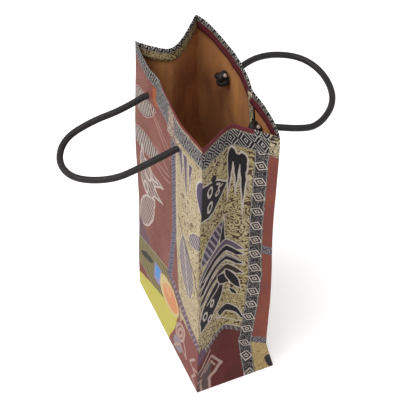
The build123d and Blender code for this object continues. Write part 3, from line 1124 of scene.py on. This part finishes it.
def build_hems():
    for name, stretch, node in (
        ("front_hem", "front", "front_rim_hem"),
        ("right_hem", "right", "right_gusset_hem"),
        ("back_hem", "back", "back_rim_hem"),
        ("left_hem", "left", "left_gusset_hem"),
    ):
        start = STRETCH_START[stretch]
        count = PANEL_COLUMNS if stretch in ("front", "back") else GUSSET_COLUMNS
        declare(hem_piece(name, start, start + count, stretch), "bag", "printed_paper", node)


FLAP_COLUMNS = 17
FLAP_ROWS = [row for row, z in enumerate(ROWS) if 6 < z < HEIGHT - 9]


def build_seam_flap():
    """The glue flap, lapped inside the back panel."""
    gap = 0.04
    coords = [(GUSSET + i * STEP["back"], ROWS[row]) for row in FLAP_ROWS for i in range(FLAP_COLUMNS + 1)]
    start = STRETCH_START["back"]
    end = start + FLAP_COLUMNS
    outer, inner = (sheet_grid(start, end, FLAP_ROWS, depth + gap) for depth in (PAPER, 2 * PAPER))
    flap = slab("seam_flap", outer, inner, coords, (WAXED, WAXED, EDGE))
    declare(flap, "bag", "printed_paper", "side_seam_flap")


# The turned edge that covers the flap's free edge: places in columns past it, with the depths of
# the edge's underside and top there
SEAM_EDGE = ((-0.9, 1.3, 1.7), (-0.3, 1.5, 2.3), (0.3, 2.0, 3.1), (0.9, 2.4, 3.9), (1.3, 0.65, 3.7))


def build_seam_edge():
    """The flap's free edge lies under the other sheet's turned edge, whose print shows inside, with a
    painted shadow line along its near side.
    """
    outer, inner, coords = [], [], []
    for row in range(2, TOP_ROW + 1):
        low, high = [], []
        wave = 1 + 0.16 * noise.noise(Vector((0, 0, ROWS[row] * 0.05)))
        for place, under, over in SEAM_EDGE:
            whole = int(place // 1)
            column = STRETCH_START["back"] + FLAP_COLUMNS + whole
            base = lerp(sheet_point(column, row, 0), sheet_point(column + 1, row, 0), place - whole)
            inwards = INWARD[row][column % len(COLUMNS)]
            low.append(base + inwards * (under * wave))
            high.append(base + inwards * (over * wave))
            coords.append((ROWS[row], (place - SEAM_EDGE[0][0]) * STEP["back"]))
        outer.append(low)
        inner.append(high)
    edge = slab("seam_edge", outer, inner, coords, (WAXED, seam_print_with_painted_light(), DARK_EDGE))
    declare(edge, "bag", "printed_paper", "side_seam_flap")


build_hems()
build_seam_flap()
build_seam_edge()


# ---------------------------------------------------------------- knots and handles

joints = {joint["name"]: joint for joint in frame["record"]["behaviour"]["joints"]}
CORD = 6.0
# Each handle's way from hole to hole: x, distance out from its joint's line and height above it
FRONT_ROUTE = (
    (-36, 0, 0), (-31, 22, -3), (-31, 51, -6), (-24, 80, -10), (0, 94, -12),
    (25, 88, -11), (41, 60, -8), (41, 34, -4), (36, 0, 0),
)
BACK_ROUTE = (
    (-36, 0, 0), (-48, 19, 0), (-52, 47, -3), (-40, 74, -7), (-13, 84, -10),
    (22, 76, -9), (46, 51, -6), (52, 29, -2), (36, 0, 0),
)


def tube(points, radius, segments=14, closed=False, end_slot=0):
    """Points, faces and slots of a round tube along points, with its ends closed."""
    points = [Vector(p) for p in points]
    count = len(points)
    made = []
    normal = None
    for i, p in enumerate(points):
        before = points[i - 1] if (i or closed) else p
        after = points[(i + 1) % count] if (i < count - 1 or closed) else p
        tangent = (after - before).normalized()
        if normal is None:
            normal = tangent.orthogonal().normalized()
        normal = (normal - tangent * normal.dot(tangent)).normalized()
        side = tangent.cross(normal)
        for k in range(segments):
            angle = 2 * pi * k / segments
            made.append(p + (normal * cos(angle) + side * sin(angle)) * radius)
    faces = ring_faces(count, segments, closed, flip=True)
    slots = [0] * len(faces)
    if not closed:
        faces.append(tuple(reversed(range(segments))))
        faces.append(tuple((count - 1) * segments + k for k in range(segments)))
        slots += [0, end_slot]
    return made, faces, slots


def ball(centre, radius, rings=8, segments=14):
    """A small round cord end, as a tube whose radius follows a circle."""
    made = []
    for r in range(rings + 1):
        angle = pi * (0.02 + 0.96 * r / rings)
        for k in range(segments):
            turn = 2 * pi * k / segments
            spot = Vector((sin(angle) * cos(turn), -cos(angle), sin(angle) * sin(turn)))
            made.append(Vector(centre) + spot * radius)
    faces = ring_faces(rings + 1, segments)
    faces += [tuple(range(segments)), tuple(rings * segments + k for k in reversed(range(segments)))]
    return made, faces, [0] * len(faces)


FACE_Y = {-1: -41.16, 1: 38.2}  # outer faces of the front and back panels at the holes
KNOT_OUT = 6.0  # from the paper to a knot's middle
KNOT_SPREAD, KNOT_RISE = 1.6, 2.6
KNOT_STEPS = 60


def overhand(centre, turn):
    """The closed loop of an overhand knot, its flat side to the paper, turned about the hole's line."""
    strand = []
    c, n = cos(radians(turn)), sin(radians(turn))
    for k in range(KNOT_STEPS):
        t = 2 * pi * k / KNOT_STEPS
        u = (sin(t) + 2 * sin(2 * t)) * KNOT_SPREAD
        v = (cos(t) - 2 * cos(2 * t)) * KNOT_SPREAD
        strand.append(centre + Vector((u * c - v * n, -sin(3 * t) * KNOT_RISE, u * n + v * c)))
    return strand


def knot(node, x, side, joint, layers, turn):
    """An overhand knot inside the bag, the cord through its hole and a cut tail whose pale end is a painted
    glint.
    """
    axis = Vector(joints[joint]["pos_m"]) / MM
    bearing_y = FACE_Y[side] - side * PAPER * layers
    centre = Vector((x, bearing_y - side * KNOT_OUT, axis.z))
    tail_start = centre + Vector((1.0, 0, 1.0))
    lean = Vector((0.55, side * 0.12, 0.8)).normalized()
    tail = [tail_start + lean * k * 1.5 for k in range(6)]
    # A thin tip at the tail's end; its pale end face is a painted glint
    glint_tip = [tail[-1] - lean, tail[-1] + lean * 0.3]
    stub = [Vector((x, lerp(axis.y, centre.y, k / 6), axis.z)) for k in range(7)]
    points, faces, slots = [], [], []
    for made, made_faces, made_slots in (
        tube(overhand(centre, turn), CORD / 2, closed=True),
        tube(tail, CORD / 2 * 0.92),
        tube(glint_tip, CORD / 2 * 0.62, end_slot=1),
        tube(stub, CORD / 2),
        ball((x, axis.y, axis.z), CORD / 2),
    ):
        faces += [tuple(v + len(points) for v in face) for face in made_faces]
        slots += made_slots
        points += made
    obj = new_piece(node + "_tied", points, faces, (CORD_BLACK, CORD_PALE_END_GLINT), slots)
    declare(obj, "bag", "handle_cord", node)


for name, x, side, joint, layers, turn in (
    ("front_left_knot", -36, -1, "front_handle_swing", 1, 20),
    ("front_right_knot", 36, -1, "front_handle_swing", 1, 75),
    ("back_left_knot", -36, 1, "back_handle_swing", 1, 50),
    ("back_right_knot", 36, 1, "back_handle_swing", 2, 100),
):
    knot(name, x, side, joint, layers, turn)


def handle(name, route, side, joint, body, node):
    """A handle's cord: one smooth spline through its route, from one hole to the other."""
    x0, y0, z0 = joints[joint]["pos_m"]
    curve = bpy.data.curves.new(name, "CURVE")
    curve.dimensions = "3D"
    curve.resolution_u = 10
    curve.bevel_depth = CORD / 2 * MM
    curve.bevel_resolution = 6
    curve.use_fill_caps = True
    spline = curve.splines.new("NURBS")
    spline.points.add(len(route) - 1)
    for point, (x, out, rise) in zip(spline.points, route):
        point.co = (x * MM, y0 + side * out * MM, z0 + rise * MM, 1)
    spline.order_u = 3
    spline.use_endpoint_u = True
    curve.materials.append(CORD_BLACK)
    obj = add_object(name, curve)
    declare(obj, body, "handle_cord", node)


for side_name, route, side, length in (("front", FRONT_ROUTE, -1, 0.224), ("back", BACK_ROUTE, 1, 0.231)):
    body = side_name + "_handle"
    handle(body + "_loop", route, side, body + "_swing", body, body + "_cord")

for node in ("base_board", "base_front_flap", "base_back_flap", "base_left_tuck", "base_right_tuck"):
    bpy.data.objects[node].material_slots[0].material = CARD if node == "base_board" else BASE_PRINT


# ---------------------------------------------------------------- floor, light and camera


def build_floor():
    """A wide pale floor just under the bag, lit a little from within so that shadows stay faint."""
    mesh = bpy.data.meshes.new("floor")
    reach = 6.0
    corners = [(-reach, -reach, 0), (reach, -reach, 0), (reach, reach, 0), (-reach, reach, 0)]
    mesh.from_pydata(corners, [], [(0, 1, 2, 3)])
    floor = add_object("floor", mesh)
    floor.location.z = -0.0002
    white = mottled("floor_white", (0.89, 0.885, 0.89, 1), (0.91, 0.905, 0.91, 1), 3.0, 0.9, 30.0)
    shader = white.node_tree.nodes["Principled BSDF"]
    shader.inputs["Emission Color"].default_value = (1, 0.99, 0.995, 1)
    shader.inputs["Emission Strength"].default_value = 0.33
    mesh.materials.append(white)


def area_light(name, place, target, size, power, colour=(1, 1, 1)):
    light = bpy.data.lights.new(name, "AREA")
    light.size = size
    light.energy = power
    light.color = colour
    obj = add_object(name, light)
    obj.location = place
    obj.rotation_euler = (Vector(target) - Vector(place)).to_track_quat("-Z", "Y").to_euler()


def build_light():
    world = bpy.data.worlds.new("studio")
    world.use_nodes = True
    background = world.node_tree.nodes["Background"]
    background.inputs["Color"].default_value = (1.0, 0.995, 0.99, 1)
    background.inputs["Strength"].default_value = 0.57
    bpy.context.scene.world = world
    bpy.context.scene.view_settings.view_transform = "Standard"
    area_light("key", (0.0, -1.15, 1.75), (0, 0, 0.1), 1.9, 27)
    area_light("top", (0.25, -0.3, 1.7), (0, 0, 0.2), 0.8, 9)


def build_camera():
    azimuth, elevation, distance = radians(66.6), radians(47.4), 1.226
    target = Vector((0.0, -0.0055, 0.193))
    back = Vector((sin(azimuth) * cos(elevation), -cos(azimuth) * cos(elevation), sin(elevation)))
    data = bpy.data.cameras.new("camera")
    data.sensor_width = 36.0
    data.lens = 117.0
    camera = add_object("camera", data)
    camera.location = target + back * distance
    camera.rotation_euler = (-back).to_track_quat("-Z", "Y").to_euler()
    bpy.context.scene.camera = camera


build_floor()
build_light()
build_camera()
